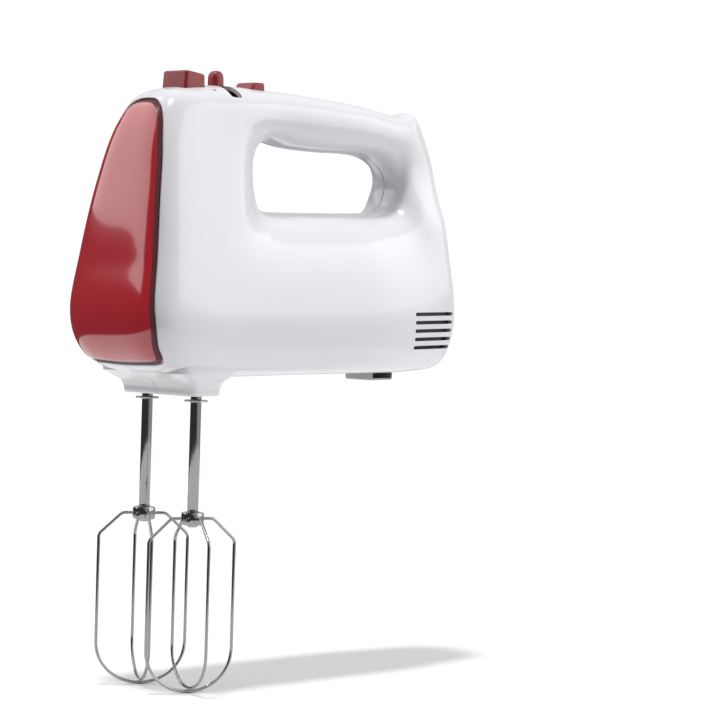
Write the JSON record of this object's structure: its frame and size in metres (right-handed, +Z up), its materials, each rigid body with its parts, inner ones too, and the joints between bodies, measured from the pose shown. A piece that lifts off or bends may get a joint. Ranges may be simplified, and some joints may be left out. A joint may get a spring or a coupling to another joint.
{
  "type": "hand mixer",
  "caption": "Electric hand mixer with loop handle, coloured nose panel, thumb eject button, speed lever, boost button and removable wire beaters driven by a worm gear.",
  "frame": {"origin": "centre of the bounding box at the height of the beater tips", "axes": "+Z up from the beater tips to the controls, the nose points to -Y, X is across the width with the two beaters side by side"},
  "size_m": [0.0787, 0.2104, 0.2945],
  "materials": {
    "white_shell": "gloss",
    "red_plastic": "gloss",
    "dark_red_plastic": "satin",
    "grey_plastic": "satin",
    "dark_plastic": "matte",
    "nylon": "satin",
    "circuit_board": "matte",
    "laminated_steel": "satin",
    "copper_wire": "satin",
    "sintered_brass": "satin",
    "carbon": "matte",
    "chromed_steel": "mirror polish",
    "ground_steel": "ground"
  },
  "bodies": {
    "mixer_body": {"housing_right": "white_shell", "housing_left": "white_shell", "front_panel": "red_plastic", "lever_track": "dark_red_plastic", "cord_gland": "grey_plastic", "speed_lever_pin": "ground_steel", "lever_cradle": "dark_plastic", "turbo_switch": "dark_plastic", "control_board": "circuit_board", "suppressor": "nylon", "terminal_block": "nylon", "housing_screw_1": "ground_steel", "housing_screw_2": "ground_steel", "housing_screw_3": "ground_steel", "housing_screw_4": "ground_steel", "gear_plate_lower": "nylon", "gear_plate_upper": "nylon", "stator_stack": "laminated_steel", "front_bearing": "sintered_brass", "front_bearing_bracket": "nylon", "centre_bearing": "sintered_brass", "centre_bearing_bracket": "nylon", "rear_bearing": "sintered_brass", "rear_bearing_bracket": "nylon", "right_field_coil": "copper_wire", "right_brush_holder": "sintered_brass", "right_carbon_brush": "carbon", "left_field_coil": "copper_wire", "left_brush_holder": "sintered_brass", "left_carbon_brush": "carbon"},
    "eject_slide": {"eject_button": "red_plastic", "ejector_yoke": "nylon"},
    "turbo_key": {"turbo_button": "red_plastic"},
    "speed_selector": {"speed_lever": "red_plastic"},
    "motor_rotor": {"motor_shaft": "ground_steel", "armature_core": "laminated_steel", "winding_front": "copper_wire", "winding_rear": "copper_wire", "commutator": "copper_wire", "cooling_fan": "dark_plastic"},
    "right_drive": {"right_spindle": "ground_steel", "right_worm_wheel": "nylon", "right_thrust_washer": "sintered_brass"},
    "right_ejector_pin": {"right_push_pin": "ground_steel"},
    "right_beater": {"right_beater_shaft": "chromed_steel", "right_beater_hub": "chromed_steel", "right_wire_loop_1": "chromed_steel", "right_wire_loop_2": "chromed_steel"},
    "left_drive": {"left_spindle": "ground_steel", "left_worm_wheel": "nylon", "left_thrust_washer": "sintered_brass"},
    "left_ejector_pin": {"left_push_pin": "ground_steel"},
    "left_beater": {"left_beater_shaft": "chromed_steel", "left_beater_hub": "chromed_steel", "left_wire_loop_1": "chromed_steel", "left_wire_loop_2": "chromed_steel"}
  },
  "joints": [
    {"name": "motor_spin", "type": "hinge", "parent": "mixer_body", "child": "motor_rotor", "pos_m": [0, -0.06409, 0.17799], "axis": [0, 0.9997, -0.0229], "continuous": true},
    {"name": "right_spindle_spin", "type": "hinge", "parent": "mixer_body", "child": "right_drive", "pos_m": [0.0184, -0.065, 0.138], "axis": [0, 0.0229, 0.9997], "continuous": true},
    {"name": "left_spindle_spin", "type": "hinge", "parent": "mixer_body", "child": "left_drive", "pos_m": [-0.0184, -0.065, 0.138], "axis": [0, 0.0229, 0.9997], "continuous": true},
    {"name": "eject_press", "type": "slide", "parent": "mixer_body", "child": "eject_slide", "axis": [0, -0.0229, -0.9997], "range_m": [0, 0.006], "stiffness_N_per_m": 400, "springref_m": -0.004},
    {"name": "right_pin_push", "type": "slide", "parent": "right_drive", "child": "right_ejector_pin", "axis": [0, -0.0229, -0.9997], "range_m": [0, 0.006]},
    {"name": "left_pin_push", "type": "slide", "parent": "left_drive", "child": "left_ejector_pin", "axis": [0, -0.0229, -0.9997], "range_m": [0, 0.006]},
    {"name": "right_beater_pull", "type": "slide", "parent": "right_ejector_pin", "child": "right_beater", "axis": [0, -0.0229, -0.9997], "range_m": [0, 0.045]},
    {"name": "left_beater_pull", "type": "slide", "parent": "left_ejector_pin", "child": "left_beater", "axis": [0, -0.0229, -0.9997], "range_m": [0, 0.045]},
    {"name": "speed_select", "type": "hinge", "parent": "mixer_body", "child": "speed_selector", "pos_m": [0, -0.0402, 0.25], "axis": [0, 1, 0], "range_deg": [-17, 17]},
    {"name": "turbo_press", "type": "slide", "parent": "mixer_body", "child": "turbo_key", "axis": [0, 0, -1], "range_m": [0, 0.002], "stiffness_N_per_m": 600, "springref_m": -0.002}
  ],
  "couplings": [
    {"joint": "right_spindle_spin", "follows": "motor_spin", "ratio": 0.083333},
    {"joint": "left_spindle_spin", "follows": "motor_spin", "ratio": -0.083333},
    {"joint": "right_pin_push", "follows": "eject_press", "ratio": 1},
    {"joint": "left_pin_push", "follows": "eject_press", "ratio": 1}
  ]
}
